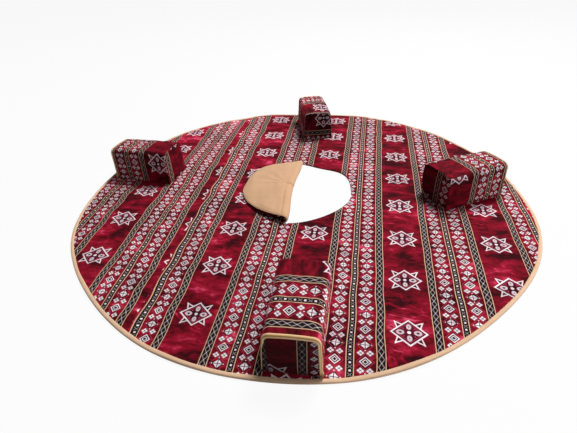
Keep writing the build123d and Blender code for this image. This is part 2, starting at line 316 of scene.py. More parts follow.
# Shader sums
class Sum:
    """A value in a node tree that can be added to, multiplied and compared like a number."""

    def __init__(self, tree, socket):
        self.tree, self.socket = tree, socket

    def math(self, operation, *others):
        """A math node that takes this value and the others."""
        node = self.tree.nodes.new("ShaderNodeMath")
        node.operation = operation
        for socket, value in zip(node.inputs, (self, *others)):
            if isinstance(value, Sum):
                self.tree.links.new(value.socket, socket)
            else:
                socket.default_value = value
        return Sum(self.tree, node.outputs[0])

    def __add__(self, other):
        return self.math("ADD", other)

    def __sub__(self, other):
        return self.math("SUBTRACT", other)

    def __mul__(self, other):
        return self.math("MULTIPLY", other)

    def __abs__(self):
        return self.math("ABSOLUTE")

    def less_from(self, number):
        """The number less this value."""
        return (self * -1.0) + number

    def least(self, other):
        """The smaller of two values."""
        return self.math("MINIMUM", other)

    def most(self, *others):
        """The greatest of several values."""
        greatest = self
        for other in others:
            greatest = greatest.math("MAXIMUM", other)
        return greatest

    def swing(self, half):
        """Distance to the nearest multiple of two halves: goes 0, half, 0, half."""
        return self.math("PINGPONG", half)

    def clamp(self):
        """This value held between 0 and 1."""
        node = self.tree.nodes.new("ShaderNodeClamp")
        self.tree.links.new(self.socket, node.inputs["Value"])
        return Sum(self.tree, node.outputs[0])

    def inside(self, soft=0.9):
        """1 where this depth is positive, 0 where negative, with a soft edge."""
        return (self * (1 / soft) + 0.5).clamp()


def set_inputs(tree, node, values):
    """Links or sets a node's inputs by name: each value is a socket or a plain value."""
    for label, value in values.items():
        if isinstance(value, bpy.types.NodeSocket):
            tree.links.new(value, node.inputs[label])
        else:
            node.inputs[label].default_value = value


def new_node(tree, kind, **values):
    """A node of a tree with its inputs linked or set."""
    node = tree.nodes.new(kind)
    set_inputs(tree, node, values)
    return node


def noise(tree, where, scale, detail, distortion=0.0):
    """Cloudy noise over a place, 0 to 1."""
    settings = {"Vector": where, "Scale": scale, "Detail": detail, "Distortion": distortion}
    return Sum(tree, new_node(tree, "ShaderNodeTexNoise", **settings).outputs["Fac"])


def place(tree, group, **values):
    """Puts a node group in a tree, with its inputs linked or set."""
    node = tree.nodes.new("ShaderNodeGroup")
    node.node_tree = group
    set_inputs(tree, node, values)
    return node


def group_tree(name, inputs, outputs):
    """A node group with named inputs, given as (name, socket type) pairs, and named values for outputs."""
    tree = bpy.data.node_groups.new(name, "ShaderNodeTree")
    for label, kind in inputs:
        tree.interface.new_socket(label, in_out="INPUT", socket_type=kind)
    for label in outputs:
        tree.interface.new_socket(label, in_out="OUTPUT", socket_type="NodeSocketFloat")
    return tree, tree.nodes.new("NodeGroupInput"), tree.nodes.new("NodeGroupOutput")


# Woven pattern
def lozenge(x, y, half_x, half_y):
    """Depth inside a lozenge with those half widths: (1 - x/a - y/b) times the distance of its side."""
    slope = half_x * half_y / np.hypot(half_x, half_y)
    return (x * (1 / half_x) + y * (1 / half_y)).less_from(1.0) * slope


def ring(depth, width):
    """Depth inside the outer band of a shape."""
    return depth.least(depth.less_from(width))


def petals(depth, x, y, gap):
    """Depth inside a shape parted into four by a cross."""
    return depth.least(x.least(y) - gap)


def dot(x, y, half):
    """Depth inside a small square standing on its corner."""
    return (x + y).less_from(half)


def zigzag_band(from_dots, along):
    """A dark band with two grey zigzags that cross, white knots between them and a tan line at each side."""
    half, swing, thread, flatness, knot = 20.5, 12.0, 2.3, 0.85, 3.0
    step = STAR_PITCH / 9
    off = from_dots - ZIGZAG_AT
    band = abs(off)
    zigzag = along.swing(step) * (2 * swing / step) - swing
    return {
        "Dark": band.less_from(half),
        "Grey": abs(off - zigzag).least(abs(off + zigzag)).less_from(thread) * flatness,
        "White": dot(band, abs(along.swing(step) - step / 2), knot),
        "Tan": abs(band - (half - LINE_HALF)).less_from(LINE_HALF),
    }


def dotted_band(from_dots, along):
    """A narrow dark band with white squares and grey saltires in turn and a tan line at each side."""
    half, step, square, saltire, thread = 17.0, 20.0, 4.6, 8.0, 1.8
    beat = along.swing(step)
    crossed = abs(from_dots - abs(beat - step)).less_from(thread)
    return {
        "Dark": from_dots.less_from(half),
        "Grey": crossed.least(from_dots.less_from(saltire)),
        "White": from_dots.less_from(square).least(beat.less_from(square)),
        "Tan": abs(from_dots - (half - LINE_HALF)).less_from(LINE_HALF),
    }


def motif_strip(from_dots, along):
    """The strip between the two bands: a double ringed lozenge and one of four petals in turn, each in a pink
    frame, small crossed lozenges in the corners between them, and dots at the petals' points."""
    middle, half = 60.75, 44.0
    ringed_x, ringed_y, ringed_line, inner, inner_line = 26.0, 26.5, 4.6, 13.5, 3.4
    petal, petal_gap, petal_edge = 21.5, 1.7, 2.5
    dot_half, dot_across, dot_along = 3.6, 26.0, 30.0
    corner_at, corner_half, corner_slope = 19.0, 15.5, 0.7
    corner_gap, corner_hole, corner_edge = 1.3, 3.4, 1.2
    frame_x, frame_y, frame_line = 37.0, 43.0, 1.7
    wide = abs(from_dots - middle)
    here = along.swing(MOTIF_PITCH)
    there = here.less_from(MOTIF_PITCH)
    ringed = lozenge(wide, here, ringed_x, ringed_y)
    petalled = lozenge(wide, there, petal, petal)
    corner_x, corner_y = abs(wide - corner_at), abs(here - MOTIF_PITCH / 2)
    corner = dot(corner_x, corner_y, corner_half) * corner_slope
    parted = corner.least(abs(corner_x - corner_y) - corner_gap).least((corner_x + corner_y) - corner_hole)
    frames = [ring(lozenge(wide, level, frame_x, frame_y), frame_line) for level in (here, there)]
    return {
        "White": ring(ringed, ringed_line).most(
            ring(lozenge(wide, here, inner, inner), inner_line),
            petals(petalled, wide, there, petal_gap),
            dot(abs(wide - dot_across), there, dot_half),
            dot(wide, abs(there - dot_along), dot_half),
            parted,
        ),
        "Dark": ringed.most(petalled + petal_edge, corner + corner_edge),
        "Pink": frames[0].most(frames[1]).least(wide.less_from(half)),
    }


def star_strip(from_dots, along):
    """The wide strip: eight-armed stars. Each is a ringed lozenge with a pointed arm on the middle of each
    side, and inside it a pink frame, a round middle, two ringed eyes, two leaves and four pink dots."""
    half_x, half_y, line = 86.0, 77.0, 7.6
    arm_x, arm_y, arm_half, arm_length, arm_line, arm_root = 42.0, 37.5, 17.0, 40.0, 6.2, 2.0
    frame_x, frame_y, frame_line = 65.0, 58.0, 2.4
    middle_radius, eye_at, eye_flat, eye_radius, eye_line = 8.5, 39.0, 0.62, 14.0, 8.5
    leaf_at, leaf_flat, leaf_radius, leaf_slope, leaf_gap = 33.0, 0.5, 11.5, 0.4, 2.4
    dot_x, dot_y, dot_half = 25.0, 22.0, 4.5
    x = from_dots.less_from(REPEAT / 2)
    y = along.swing(STAR_PITCH / 2)
    body = lozenge(x, y, half_x, half_y)
    # a quarter's side faces along (side_x, side_y), and lies side_out from the star's middle
    side_x, side_y = half_y / np.hypot(half_x, half_y), half_x / np.hypot(half_x, half_y)
    side_out = half_x * side_x
    lean = abs((x - arm_x) * side_y - (y - arm_y) * side_x)
    out = (x * side_x + y * side_y) - side_out
    arm = lozenge(lean, out, arm_half, arm_length)
    eye_x, leaf_y = abs(x - eye_at), abs(y - leaf_at)
    eye = (eye_x * eye_x * eye_flat + y * y).math("SQRT").less_from(eye_radius)
    leaf = (x * x + leaf_y * leaf_y * leaf_flat).math("SQRT").less_from(leaf_radius)
    dots = dot(abs(x - dot_x), abs(y - dot_y), dot_half)
    return {
        "White": ring(body, line).most(
            ring(arm, arm_line).least(out + arm_root),
            (x * x + y * y).math("SQRT").less_from(middle_radius),
        ),
        "Deep": body.most(arm.least(out)),
        "Pale": ring(eye, eye_line).most(leaf.least(x + leaf_y * leaf_slope - leaf_gap)),
        "Pink": ring(lozenge(x, y, frame_x, frame_y), frame_line).most(dots),
    }


def weave_group():
    """Masks of the woven pattern from the cloth's own coordinates in metres, across and along the stripes.
    The repeat is a dotted band, a strip of motifs, a zigzag band and a wide strip of stars, mirrored. Each is
    drawn from the distance to the middle of the nearest dotted band."""
    tree, start, end = group_tree("Woven pattern", [("Cloth", "NodeSocketVector")], MASKS)
    split = new_node(tree, "ShaderNodeSeparateXYZ", Vector=start.outputs["Cloth"])
    across = Sum(tree, split.outputs["X"]) * (1 / MM)
    along = Sum(tree, split.outputs["Y"]) * (1 / MM)
    from_dots = across.swing(REPEAT / 2)
    masks = {}
    for strip in (zigzag_band, dotted_band, motif_strip, star_strip):
        for label, depth in strip(from_dots, along).items():
            masks[label] = masks[label].most(depth) if label in masks else depth
    for label, depth in masks.items():
        tree.links.new(depth.inside().socket, end.inputs[label])
    return tree


def crush_group():
    """Lie of the crushed pile over the cloth, 0 dark to 1 bright: broad patches, wrinkles that run across the
    stripes, thin painted highlights along creases here and there, and fine streaks, from the cloth's own
    coordinates."""
    inputs = [("Cloth", "NodeSocketVector"), ("Strength", "NodeSocketFloat")]
    tree, start, end = group_tree("Crushed pile", inputs, ("Lie", "Wrinkle", "Fuzz"))

    def cloud(scale, stretch, detail, distortion=0.0, shift=0.0):
        """Noise over the cloth, stretched and shifted."""
        settings = {"Vector": start.outputs["Cloth"], "Scale": stretch, "Location": (shift, shift * 0.7, 0)}
        moved = new_node(tree, "ShaderNodeMapping", **settings)
        return noise(tree, moved.outputs[0], scale, detail, distortion)

    crease_half, base = 0.028, 0.38
    patches = cloud(3.4, (1.0, 1.7, 1.0), 3.0, 0.8)
    wrinkles = cloud(5.0, (0.8, 2.0, 1.0), 4.0, 1.8, 3.1)
    creases = abs(cloud(4.2, (0.9, 1.9, 1.0), 3.0, 1.2, 5.3) - 0.5).less_from(crease_half) * (1 / crease_half)
    creased = (cloud(2.6, (1.0, 1.0, 1.0), 2.0, 0.0, 9.1) - 0.5) * 5.0
    streaks = cloud(26.0, (0.8, 1.4, 1.0), 4.0, 0.8, 7.7)
    fuzz = cloud(900.0, (1.0, 1.0, 1.0), 1.0)
    # crease: painted highlight along thin creases; a quarter of it also goes into the wrinkles' bump
    crease = creases.clamp() * creased.clamp()
    lie = (patches - 0.5) * 1.7 + (wrinkles - 0.5) * 1.3 + (streaks - 0.5) * 0.8 + crease * 0.55
    strength = Sum(tree, start.outputs["Strength"])
    tree.links.new((lie * strength + base).clamp().socket, end.inputs["Lie"])
    tree.links.new((wrinkles + crease * 0.25).socket, end.inputs["Wrinkle"])
    tree.links.new(fuzz.socket, end.inputs["Fuzz"])
    return tree


# Finishes
def colour_mix(tree, amount, first, second):
    """Mix of two colours by an amount; each is a socket or a plain colour."""
    node = tree.nodes.new("ShaderNodeMix")
    node.data_type = "RGBA"
    set_inputs(tree, node, {"Factor": amount, "A": first, "B": second})
    return node.outputs["Result"]


def srgb(red, green, blue):
    """A colour given in 0 to 255 screen values, as linear light."""
    values = np.array([red, green, blue]) / 255
    light = np.where(values <= 0.04045, values / 12.92, ((values + 0.055) / 1.055) ** 2.4)
    return (*(float(value) for value in light), 1.0)


def new_material(name):
    """A material, its node tree and its main shader."""
    material = bpy.data.materials.new(name)
    material.use_nodes = True
    return material, material.node_tree, material.node_tree.nodes["Principled BSDF"]


def bump(tree, height, depth, strength):
    """Normals of a surface raised by a height, as a socket."""
    node = new_node(tree, "ShaderNodeBump", Strength=strength, Distance=depth, Height=height.socket)
    return node.outputs[0]


WEAVE = weave_group()
CRUSH = crush_group()


def pile_colour(tree, lie):
    """Colour of the plain pile: from near black where it lies away to rose where it catches the light."""
    ramp = tree.nodes.new("ShaderNodeValToRGB")
    stops = ramp.color_ramp.elements
    stops[0].position, stops[0].color = 0.0, srgb(44, 5, 12)
    stops[1].position, stops[1].color = 1.0, srgb(212, 74, 106)
    for position, colour in ((0.30, srgb(100, 9, 24)), (0.60, srgb(136, 15, 38)), (0.80, srgb(166, 30, 58))):
        stops.new(position).color = colour
    tree.links.new(lie, ramp.inputs[0])
    return ramp.outputs[0]


def velvet(name, depth):
    """Crushed crimson velvet with the woven bands, motifs and stars. The depth is painted shade: how far the
    colour is darkened towards near black, the pale parts less, and the sheen cut; 0 for faces in the light,
    more for end panels that face away from it."""
    material, tree, shader = new_material(name)
    cloth = tree.nodes.new("ShaderNodeUVMap")
    cloth.uv_map = "cloth"
    weave = place(tree, WEAVE, Cloth=cloth.outputs["UV"])
    crush = place(tree, CRUSH, Cloth=cloth.outputs["UV"], Strength=1.2)
    # painted light written on the mesh, painted sheen and shade, is added to the crushed pile's lie
    painted_light_node = tree.nodes.new("ShaderNodeAttribute")
    painted_light_node.attribute_name = "painted_light"
    lie = (Sum(tree, crush.outputs["Lie"]) + Sum(tree, painted_light_node.outputs["Fac"])).clamp().socket
    # colours of the woven parts, each laid over the ones before it
    layers = {
        "Deep": colour_mix(tree, lie, srgb(40, 5, 12), srgb(96, 18, 40)),
        "Dark": srgb(30, 16, 20),
        "Pink": srgb(196, 64, 88),
        "Grey": srgb(146, 138, 136),
        "Pale": srgb(205, 188, 196),
        "Tan": srgb(218, 182, 148),
        "White": colour_mix(tree, lie, srgb(214, 196, 203), srgb(252, 242, 246)),
    }
    colour = pile_colour(tree, lie)
    for label, over in layers.items():
        colour = colour_mix(tree, weave.outputs[label], colour, over)
    masks = {label: Sum(tree, weave.outputs[label]) for label in MASKS}
    bright = masks["White"].most(masks["Tan"], masks["Pale"])
    # painted shade: the colour is darkened towards near black by the depth, the pale parts less, and the
    # sheen is cut below
    painted_shade = (bright * -0.42 + 1.0) * depth
    motif = masks["White"].most(masks["Grey"], masks["Tan"])
    wrinkle, fuzz = (Sum(tree, crush.outputs[label]) for label in ("Wrinkle", "Fuzz"))
    height = wrinkle * 3.0 + fuzz * 0.10 - motif * 0.06
    set_inputs(tree, shader, {
        "Base Color": colour_mix(tree, painted_shade.socket, colour, srgb(14, 5, 6)),
        "Roughness": 0.85,
        "Specular IOR Level": 0.06,
        "Sheen Weight": 0.42 * (1 - depth),
        "Sheen Roughness": 0.35,
        "Sheen Tint": srgb(232, 52, 84),
        "Normal": bump(tree, height, 0.004, 0.9),
    })
    return material


def plain_cloth(name, light, shade, thread, crumple):
    """Plain woven cloth: a fine plain weave of crossing threads and soft crumpled shading."""
    material, tree, shader = new_material(name)
    where = tree.nodes.new("ShaderNodeTexCoord").outputs["Object"]
    split = new_node(tree, "ShaderNodeSeparateXYZ", Vector=where)
    x, y, z = (Sum(tree, split.outputs[axis]) * (2 * np.pi / thread) for axis in "XYZ")
    weave = ((x + z * 0.7).math("SINE") * (y + z * 0.7).math("SINE")) * 0.5 + 0.5
    soft = noise(tree, where, 9.0, 5.0)
    tone = ((soft - 0.5) * 0.9 + weave * 0.25 + 0.4).clamp()
    set_inputs(tree, shader, {
        "Base Color": colour_mix(tree, tone.socket, shade, light),
        "Roughness": 0.9,
        "Specular IOR Level": 0.2,
        "Sheen Weight": 0.15,
        "Normal": bump(tree, weave * 0.12 + soft * crumple, 0.002, 0.8),
    })
    return material


def coated(name, colour, edge, roughness, metallic):
    """Lacquered or moulded small part: slightly worn tone from fine noise."""
    material, tree, shader = new_material(name)
    wear = noise(tree, tree.nodes.new("ShaderNodeTexCoord").outputs["Object"], 420.0, 3.0)
    set_inputs(tree, shader, {
        "Base Color": colour_mix(tree, ((wear - 0.35) * 1.8).clamp().socket, edge, colour),
        "Roughness": (wear * 0.2 + (roughness - 0.1)).socket,
        "Metallic": metallic,
        "Normal": bump(tree, wear, 0.0002, 0.5),
    })
    return material


# Each finish is a material and the slot that it fills. The sliders and pulls take theirs without a slot
VELVET = velvet("crushed velvet", 0.0), "velvet"
# Two copies of the velvet with painted shade, deep and half, for the end panels that face away from the light
VELVET_DEEP_SHADE = velvet("crushed velvet against the nap", 0.68), "velvet"
VELVET_HALF_SHADE = velvet("crushed velvet aslant the nap", 0.40), "velvet"
END_PAINTED_SHADE = {
    ("front", "outer"): VELVET_DEEP_SHADE,
    ("back", "inner"): VELVET_DEEP_SHADE,
    ("right", "inner"): VELVET_HALF_SHADE,
}
PLAIN_CLOTHS = {
    "backing_cloth": ("tan backing cloth", srgb(208, 167, 130), srgb(196, 153, 117), 0.0012, 0.35),
    "binding_tape": ("tan binding tape", srgb(230, 193, 161), srgb(212, 173, 138), 0.0010, 0.4),
    "zip_tape": ("zip tape", srgb(248, 210, 158), srgb(234, 190, 136), 0.0009, 0.3),
}
TAN_CLOTH, TAPE, ZIP_TAPE = ((plain_cloth(*values), slot) for slot, values in PLAIN_CLOTHS.items())
TEETH = coated("nylon teeth", srgb(206, 164, 110), srgb(176, 134, 84), 0.45, 0.0), "zip_teeth"
METAL = coated("lacquered zip metal", srgb(196, 158, 104), srgb(150, 116, 72), 0.35, 0.4)


# The velvet's lie on the mat
def left_side(x):
    """1 on the left of the mat, where the velvet lies less flat, 0 on the right."""
    return 1 - ease(-0.9, 0.0, x)


def weave_at(x, y, bands):
    """Place in the weave of each point. Across the stripes it comes from the bands' measured places: a
    parabola through each band's three x, then straight between bands. Along them it follows the star rows."""
    levels = np.clip(y, -CLOTH_END, CLOTH_END)
    a, b, c = BAND_LEVELS
    weights = [
        (levels - b) * (levels - c) / ((a - b) * (a - c)),
        (levels - a) * (levels - c) / ((b - a) * (b - c)),
        (levels - a) * (levels - b) / ((c - a) * (c - b)),
    ]
    edges = [sum(weight * band[1 + k] for k, weight in enumerate(weights)) for band in bands]
    for n, (left, right) in enumerate(zip(edges, edges[1:])):
        value = bands[n][0] + (x - left) / (right - left) * (bands[n + 1][0] - bands[n][0])
        across = np.where(x >= left, value, across) if n else value
    if bands is SIDE_BANDS:
        level = levels - SIDE_ROW_SHIFT - SIDE_COLUMN_BOW * levels**2
    else:
        level = levels - ROW_LEAN * x - ROW_BOW * x**2 - COLUMN_BOW * levels**2
    root = np.sqrt(STAR_STEP**2 + 4 * STAR_STRETCH * (level - STAR_START))
    along = STAR_PITCH * MM * (root - STAR_STEP) / (2 * STAR_STRETCH)
    pulled = (0.0014 + 0.0024 * left_side(x)) * ripples(x, y, 0.26, seed=77)
    return np.stack([across + pulled, along], axis=-1)


# Outlines read from the frame
wadding = np.array([vertex.co for vertex in frame["nodes"]["mat_wadding"].data.vertices])
near_rim = np.hypot(wadding[:, 0], wadding[:, 1]) > BETWEEN_OUTLINES
binding_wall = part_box("rim_binding")[1].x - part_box("mat_wadding")[1].x
bearings = full_turn(1024)
spectrum = np.fft.rfft(reach_at(polar_about(wadding[near_rim][:, :2], np.zeros(2)), bearings) + binding_wall)
spectrum[RIM_WAVES:] = 0
rim_reach = np.fft.irfft(spectrum, len(bearings))
rim_line = np.stack([rim_reach * np.cos(bearings), rim_reach * np.sin(bearings)], axis=1)
opening_points = wadding[~near_rim][:, :2]
opening_table = polar_about(opening_points, HUB)
CREASE_END = np.abs(opening_points[:, 1]).max()
CREASE_BEARING = np.arctan2(CREASE_END, CREASE_X - HUB[0])


def seam_x(y):
    """The seam between the two widths of velvet, a straight line that leans."""
    return SEAM_FRONT + (y + CLOTH_END) / (2 * CLOTH_END) * (SEAM_REAR - SEAM_FRONT)


def pull_in(y):
    """How far the fold is pulled back to the left: a soft dent between its two ends, with a small push to the
    right at the crease's front end."""
    front = ease(DENT_FRONT, DENT_AT, y) ** 1.2
    rear = 1 - ease(DENT_AT, DENT_REAR, y)
    return FRONT_PUSH * (1 - ease(-0.40, -0.16, y)) - DENT * np.where(y < DENT_AT, front, rear)


# Armrest places
def armrest_place(name):
    """Middle of the base, the axis towards the inner end and the axis across, from the frame's joints."""
    low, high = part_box(f"{name}_foam_block")
    axis = JOINTS[f"{name}_pull_swing"]["axis"]
    across = np.array([axis[0], axis[1], 0.0])
    across /= np.linalg.norm(across)
    along = np.array([across[1], -across[0], 0.0])
    middle = np.array([(low.x + high.x) / 2, (low.y + high.y) / 2, MAT_TOP])
    return middle, along, across


ARMRESTS = {name: armrest_place(name) for name in COVER_SHIFTS}


def under_armrests(x, y, margin):
    """1 under an armrest, 0 away from it by the margin."""
    under = np.zeros_like(x, dtype=float)
    for middle, along, across in ARMRESTS.values():
        dx, dy = x - middle[0], y - middle[1]
        off_end = np.abs(dx * along[0] + dy * along[1]) - ARMREST_HALF
        off_side = np.abs(dx * across[0] + dy * across[1]) - ARMREST_SIDE
        under = np.maximum(under, 1 - ease(0.0, margin, np.maximum(off_end, off_side)))
    return under


def painted_light(x, y):
    """Painted light on the mat: painted sheen, more at the back left, and painted shade in places on the
    right.
    """
    back_left = 0.20 * left_side(x) * ease(-0.2, 0.9, y)
    far_right = 0.08 * ease(0.5, 1.1, x) * ease(0.0, 0.3, y) * (1 - ease(0.5, 0.8, y))
    back_right = 0.13 * ease(0.2, 0.6, x) * ease(0.5, 0.8, y) * (1 - ease(1.0, 1.3, y))
    near_opening = 0.14 * bell(x - 0.6, 0.26) * bell(y + 0.4, 0.22)
    right_rim = 0.08 * ease(0.8, 1.1, x) * (1 - ease(-0.3, -0.1, y))
    return back_left - far_right - back_right - near_opening - right_rim


def mat_height(x, y):
    """Top of the mat: level, plus slow swells and sharp little pleats along the zero lines of a slow noise,
    all dying out under the armrests, the cover and at the opening, and a shallow groove along the seam."""
    left = left_side(x)
    swell = (SWELL + SWELL_LEFT * left) * ripples(x, y, 0.50, seed=4)
    swell = swell + SMALL_SWELL * ripples(x, y, 0.14, seed=9, across=1.8)
    pleated = ease(0.1, 1.1, ripples(x, y, 0.7, seed=28))
    pleat_lines = bell(ripples(x, y, 0.46, seed=63, across=2.2), PLEAT_WIDTH)
    pleat = (PLEAT + PLEAT_LEFT * left) * pleat_lines * pleated
    by_opening = 1 - ease(0.38, 0.52, np.hypot(x - HUB[0], y - HUB[1]))
    under_flap = (1 - ease(0.42, 0.50, -x)) * (1 - ease(0.42, 0.50, np.abs(y))) * (x < 0.1)
    calm = np.maximum(under_armrests(x, y, 0.09), np.maximum(by_opening, under_flap))
    groove = GROOVE_DEPTH * bell(x - seam_x(y), GROOVE_WIDTH)
    return MAT_TOP + np.clip((swell + pleat) * (1 - calm), LOWEST_SWELL, HIGHEST_SWELL) - groove


# The mat
def ray_lengths(angle):
    """From the hub out along each bearing, to the opening or the pulled-in crease, to the rim and to the
    seam. How far the crease is pulled in depends on where the ray meets it, so half steps close in on it."""
    opening = reach_at(opening_table, angle)
    leftwards = np.minimum(np.cos(angle), -1e-6)
    crease = opening
    for _ in range(12):
        y = crease * np.sin(angle)
        edge = CREASE_X + (pull_in(y) - EDGE_UNDER_FOLD) * (1 - ease(0.8, 1.0, np.abs(y) / CREASE_END))
        crease = 0.5 * crease + 0.5 * np.minimum((edge - HUB[0]) / leftwards, FAR)
    inner = np.where(np.abs(angle) > CREASE_BEARING, crease, opening)
    outer = reach_at(polar_about(rim_line, HUB), angle) - binding_wall
    slope = seam_x(1.0) - seam_x(0.0)
    across = np.cos(angle) - slope * np.sin(angle)
    to_seam = (seam_x(0.0) - HUB[0] + slope * HUB[1]) / np.minimum(across, -1e-6)
    return inner, outer, np.where(across < -1e-6, to_seam, FAR)


def round_angles():
    """Even bearings about the hub, with the bearings of the crease's two ends put in."""
    left = opening_points[opening_points[:, 0] < CREASE_X + 0.002] - HUB
    ends = np.arctan2(left[:, 1], left[:, 0])
    corners = [ends[ends > 0].min(), ends[ends < 0].max()]
    return np.unique(np.round(np.concatenate([full_turn(ROUND_STEPS), corners]), 6))


def fan(angles, near, far, rows):
    """Places on a fan of rays from the hub: reach = near + t (far - near)."""
    reach = near + np.linspace(0, 1, rows)[:, None] * (far - near)
    return HUB[0] + reach * np.cos(angles), HUB[1] + reach * np.sin(angles)


def fan_sheet(name, x, y, z, cloth, finish, solids, wrap=True, flip=False):
    """A cloth of the mat on the places of a fan, with its painted sheen and shade."""
    if wrap:
        cloth = np.concatenate([cloth, cloth[:, :1]], axis=1)
    piece = sheet_mesh(name, np.stack([x, y, z], axis=-1), cloth, wrap=wrap, flip=flip)
    paint_light(piece, painted_light(x, y))
    return dress(piece, finish, "mat", solids)


def main_width():
    """The wide piece of velvet, all round the opening and as far as the rim or the seam."""
    angles = round_angles()
    inner, outer, to_seam = ray_lengths(angles)
    x, y = fan(angles, inner, np.minimum(outer, to_seam), 150)
    cloth = weave_at(x, y, MAIN_BANDS)
    solids = ["mat_velvet_main", "mat_wadding"]
    piece = fan_sheet("velvet_main_width", x, y, mat_height(x, y), cloth, VELVET, solids)
    area = cut_area(x[-1], y[-1]) - cut_area(x[0], y[0])


def side_width():
    """The narrow piece of velvet: the rest of the rays beyond the seam."""
    angles = round_angles()
    _, outer, to_seam = ray_lengths(angles)
    turned = np.sort((angles[to_seam < outer] + 2 * np.pi) % (2 * np.pi))
    fine = np.linspace(turned[0], turned[-1], 4 * len(turned))
    _, outer, to_seam = ray_lengths((fine + np.pi) % (2 * np.pi) - np.pi)
    x, y = fan(fine, np.minimum(to_seam, outer), outer, 90)
    cloth = weave_at(x, y, SIDE_BANDS)
    solids = ["mat_velvet_side"]
    piece = fan_sheet("velvet_side_width", x, y, mat_height(x, y), cloth, VELVET, solids, wrap=False)
    area = cut_area(np.concatenate([x[-1], x[0][::-1]]), np.concatenate([y[-1], y[0][::-1]]))


def underside():
    """The tan cloth underneath: a flat fan of rays from the hub, just off the floor, facing down."""
    angles = round_angles()[::2]
    inner, outer, _ = ray_lengths(angles)
    x, y = fan(angles, inner, outer - UNDERSIDE_INSET, 24)
    flat = np.full_like(x, 0.0004)
    cloth = np.stack([x, y], axis=-1)
    piece = fan_sheet("tan_underside", x, y, flat, cloth, TAN_CLOTH, ["mat_backing"], flip=True)
    area = cut_area(x[-1], y[-1]) - cut_area(x[0], y[0])


def binding():
    """Bias tape round the rim: a flattened C profile carried along the outline, its width and height swaying
    a little, so that the stitched inner edge is not a perfect line."""
    angles = full_turn(1440)
    reach = np.interp(angles, bearings, rim_reach, period=2 * np.pi)
    line = reach[:, None] * np.stack([np.cos(angles), np.sin(angles)], axis=1)
    outward = normals_right(line)
    profile = np.array([
        (-0.0195, 0.0002), (-0.0080, 0.0001), (-0.0022, 0.0008), (-0.0002, 0.0040), (0.0000, 0.0085),
        (-0.0012, 0.0122), (-0.0045, 0.0143), (-0.0100, 0.0150), (-0.0165, 0.0143), (-0.0192, 0.0133),
        (-0.0196, 0.0112),
    ])
    out, up = profile[:, :1], profile[:, 1:]
    run = angles * 1.5
    sway = 1 + 0.06 * ripples(run, angles * 0, 0.22, seed=21)
    x = line[:, 0] + outward[:, 0] * out * sway
    y = line[:, 1] + outward[:, 1] * out * sway
    lift = (mat_height(x, y) - MAT_TOP) * np.clip(up / 0.012, 0, 1)
    z = up + lift + 0.0003 * ripples(run, angles * 0, 0.03, seed=5) * (up > 0.01)
    length, width = lengths_along(np.concatenate([line, line[:1]])), lengths_along(profile)
    cloth = np.stack(np.broadcast_arrays(length[None, :], width[:, None]), axis=-1)
    piece = sheet_mesh("tan_binding", np.stack([x, y, z], axis=-1), cloth, wrap=True, flip=True)
    dress(piece, TAPE, "mat", ["rim_binding"])


def opening_edge():
    """Velvet turned down over the opening's curved edge: a rounded lip carried along the outline."""
    angles = np.linspace(0.01 - CREASE_BEARING, CREASE_BEARING - 0.01, 300)
    profile = np.array([
        (0.0100, 0.0122), (0.0030, 0.0128), (0.0006, 0.0120), (-0.0008, 0.0102), (-0.0013, 0.0070),
        (-0.0014, 0.0030), (-0.0010, 0.0004), (0.0010, 0.0001),
    ])
    lip = reach_at(opening_table, angles) + profile[:, :1]
    x, y = HUB[0] + lip * np.cos(angles), HUB[1] + lip * np.sin(angles)
    points = np.stack([x, y, profile[:, 1:] + 0 * x], axis=-1)
    piece = sheet_mesh("opening_lip", points, weave_at(x, y, MAIN_BANDS), flip=True)
    dress(piece, VELVET, "mat", ["opening_edge"])
    run = float(np.sum(np.hypot(np.diff(x[0]), np.diff(y[0]))))


# The centre cover
FOLD_LOW = np.array(JOINTS["spine_fold"]["pos_m"])
FOLD_HIGH = np.array(JOINTS["flap_turn"]["pos_m"])
FLAP_SLOPE = np.radians(JOINTS["flap_turn"]["range_deg"][1] - 90.0)


def opening_sides():
    """The opening's low and high y at each x right of the crease, from its outline."""
    ray = np.linspace(-np.pi, np.pi, 2881)
    reach = reach_at(opening_table, ray) - CUT_GAP
    x, y = HUB[0] + reach * np.cos(ray), HUB[1] + reach * np.sin(ray)
    tip = int(np.argmax(x))
    low = slice(int(np.argmin(y)), tip + 1)
    high = slice(tip, int(np.argmax(y)) + 1)
    return (x[low], y[low]), (x[high][::-1], y[high][::-1])


def in_bend(s):
    """0 before the round bend, 1 beyond it, straight between."""
    return np.clip((s - BEND_START) / (BEND_END - BEND_START), 0, 1)


def cover_curve(s):
    """Side view of the velvet face of the folded cover at lengths s from the crease: the heading turns evenly
    through the half turn and the flap's slope between the bend's two ends, and is summed up."""
    fine = np.linspace(LIE_START, 0.46, 3000)
    turn = in_bend(fine)
    heading = (np.pi + FLAP_SLOPE) * (0.75 * turn + 0.25 * ease(0, 1, turn))
    step = fine[1] - fine[0]
    x = FOLD_LOW[0] + LIE_START + np.concatenate([[0], np.cumsum(np.cos(heading[:-1]) * step)])
    z = MAT_TOP + np.concatenate([[0], np.cumsum(np.sin(heading[:-1]) * step)])
    return np.interp(s, fine, x), np.interp(s, fine, z), np.interp(s, fine, heading)


def closed_places(s):
    """Where lengths s from the crease lie when the cover is closed: the round bend is a short cut, so it is
    stretched to the spine's length, and the flap beyond keeps its length."""
    x_end, _, _ = cover_curve(np.array(BEND_END))
    spine = FOLD_HIGH[2] - FOLD_LOW[2]
    slack = spine + (FOLD_HIGH[0] - float(x_end)) / np.cos(FLAP_SLOPE) - BEND_END
    return CREASE_X + s + slack * in_bend(s)


